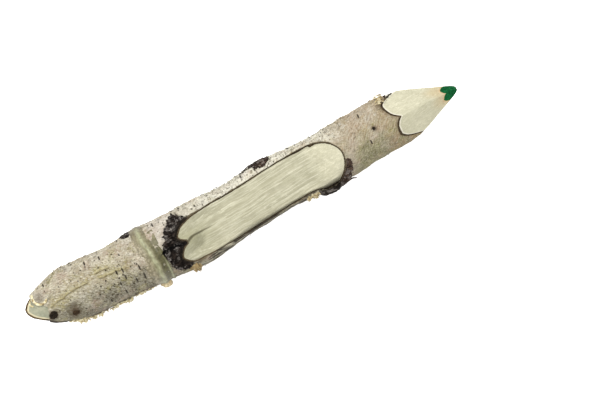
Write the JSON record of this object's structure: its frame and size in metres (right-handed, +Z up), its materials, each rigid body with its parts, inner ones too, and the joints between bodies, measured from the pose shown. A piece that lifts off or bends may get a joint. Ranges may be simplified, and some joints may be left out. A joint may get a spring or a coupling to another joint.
{
  "type": "twig pencil",
  "caption": "Bark-covered birch twig pencil with a thick green lead, a knife-cut point, a carved flat on one side and a slanting butt cut.",
  "frame": {"origin": "middle of the pencil's footprint, on the surface it lies on", "axes": "+X along the twig towards the point, +Z up, the carved flat facing nearly up"},
  "size_m": [0.1488, 0.0224, 0.0197],
  "materials": {
    "lead": "dense waxy pigment, knife cut",
    "glue": "cured wood glue",
    "pith": "dry spongy pith",
    "wood": "bare carved birch, fine lengthwise grain",
    "inner_bark": "dry brown bast",
    "outer_bark": "mottled papery birch bark",
    "resin": "smooth, clear to milky",
    "crust": "dark torn bark",
    "paper": "loose papery bark",
    "knot": "dark rough knot"
  },
  "bodies": {
    "root": {"coloured_lead": "lead", "lead_glue": "glue", "pith": "pith", "wood_stem": "wood", "inner_bark": "inner_bark", "outer_bark": "outer_bark", "resin_band": "resin", "rear_bark_crust": "crust", "front_bark_crust": "crust", "upper_bark_flake": "crust", "band_bark_flake": "crust", "rear_paper_flake": "paper", "front_paper_flake": "paper", "shoulder_paper_flake": "paper", "butt_paper_curl": "paper", "butt_fringe": "paper", "butt_knot": "knot", "side_knot": "knot", "front_knot": "knot"}
  },
  "joints": []
}
